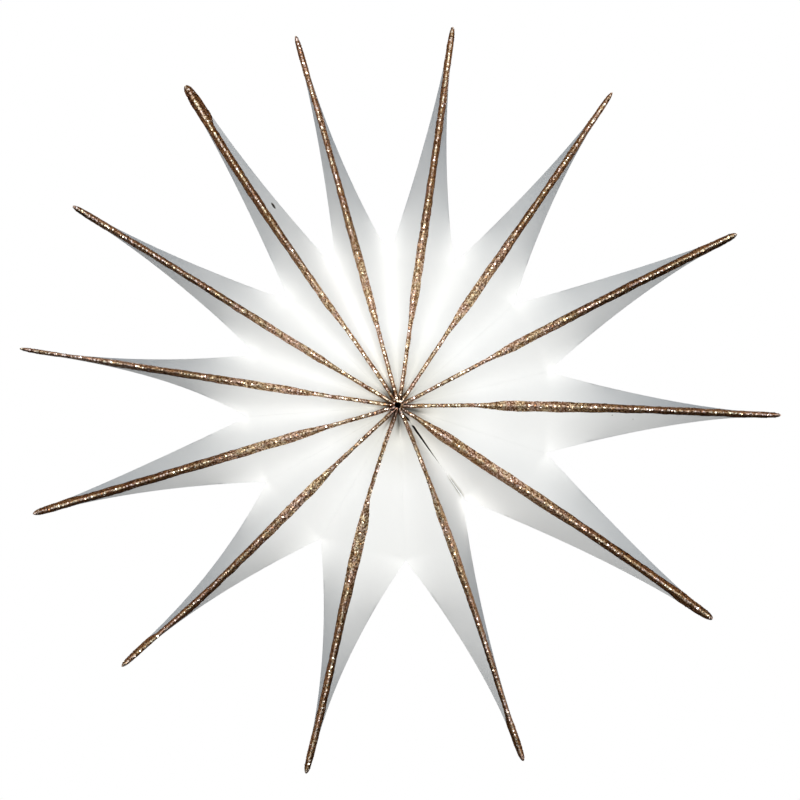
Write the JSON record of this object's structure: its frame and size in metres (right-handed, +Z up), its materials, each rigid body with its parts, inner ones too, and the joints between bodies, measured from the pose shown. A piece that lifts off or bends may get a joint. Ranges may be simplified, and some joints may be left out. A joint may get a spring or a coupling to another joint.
{
  "type": "folded paper star",
  "caption": "Hanging star of long hollow folded-paper points glued side by side around a hub, with copper-brown glitter along each fold and round each tip.",
  "frame": {"origin": "middle of the hub, where all points meet, on the star's middle plane", "axes": "-Y to the front, as the star hangs and is seen; +Z up; +X to the right seen from the front; Y is the star's thin direction and the axis of the hole in its hub"},
  "size_m": [0.5997, 0.1496, 0.5887],
  "materials": {
    "paper": "smooth white uncoated paper",
    "glitter": "coarse copper-brown glitter flakes in glue",
    "adhesive_pad": "thin white double-sided foam"
  },
  "bodies": {
    "root": {"point_01": "paper", "point_02": "paper", "point_03": "paper", "point_04": "paper", "point_05": "paper", "point_06": "paper", "point_07": "paper", "point_08": "paper", "point_09": "paper", "point_10": "paper", "point_11": "paper", "point_12": "paper", "point_13": "paper", "glitter_01": "glitter", "glitter_02": "glitter", "glitter_03": "glitter", "glitter_04": "glitter", "glitter_05": "glitter", "glitter_06": "glitter", "glitter_07": "glitter", "glitter_08": "glitter", "glitter_09": "glitter", "glitter_10": "glitter", "glitter_11": "glitter", "glitter_12": "glitter", "glitter_13": "glitter", "seam_pad_front": "adhesive_pad", "seam_pad_back": "adhesive_pad"}
  },
  "joints": []
}
